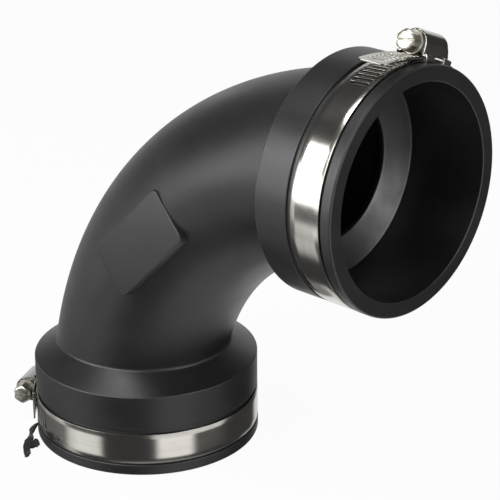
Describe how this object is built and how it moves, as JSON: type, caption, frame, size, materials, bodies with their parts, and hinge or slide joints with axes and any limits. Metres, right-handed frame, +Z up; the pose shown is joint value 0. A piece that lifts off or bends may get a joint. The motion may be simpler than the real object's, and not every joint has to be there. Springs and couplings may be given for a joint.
{
  "type": "flexible elbow coupling",
  "caption": "Flexible 90 degree pipe elbow of moulded black rubber with a lipped socket at each end, each with a stainless worm-drive band clamp.",
  "frame": {"origin": "centre of the lower mouth, on the axis of the lower socket", "axes": "+Z up the axis of the lower socket into the elbow, +X out of the side socket, and the flat pad faces -Y"},
  "size_m": [0.2145, 0.1106, 0.217],
  "materials": {
    "black_rubber": "satin moulded",
    "stainless_band": "rolled, bright",
    "stainless_housing": "pressed, bright",
    "zinc_screw": "plated, bright"
  },
  "bodies": {
    "elbow": {"elbow_body": "black_rubber", "torn_scrap": "black_rubber"},
    "lower_clamp": {"lower_band": "stainless_band", "lower_saddle": "stainless_band", "lower_housing": "stainless_housing"},
    "lower_worm": {"lower_screw": "zinc_screw"},
    "upper_clamp": {"upper_band": "stainless_band", "upper_saddle": "stainless_band", "upper_housing": "stainless_housing"},
    "upper_worm": {"upper_screw": "zinc_screw"}
  },
  "joints": [
    {"name": "lower_clamp_turn", "type": "hinge", "parent": "elbow", "child": "lower_clamp", "pos_m": [0, 0, 0.0131], "axis": [0, 0, 1], "continuous": true},
    {"name": "lower_screw_turn", "type": "hinge", "parent": "lower_clamp", "child": "lower_worm", "pos_m": [-0.05203, -0.02371, 0.0131], "axis": [0.4147, -0.91, 0], "continuous": true},
    {"name": "upper_clamp_turn", "type": "hinge", "parent": "elbow", "child": "upper_clamp", "pos_m": [0.1413, 0, 0.1544], "axis": [1, 0, 0], "continuous": true},
    {"name": "upper_screw_turn", "type": "hinge", "parent": "upper_clamp", "child": "upper_worm", "pos_m": [0.1413, 0.02188, 0.20723], "axis": [0, -0.9239, 0.3827], "continuous": true}
  ]
}
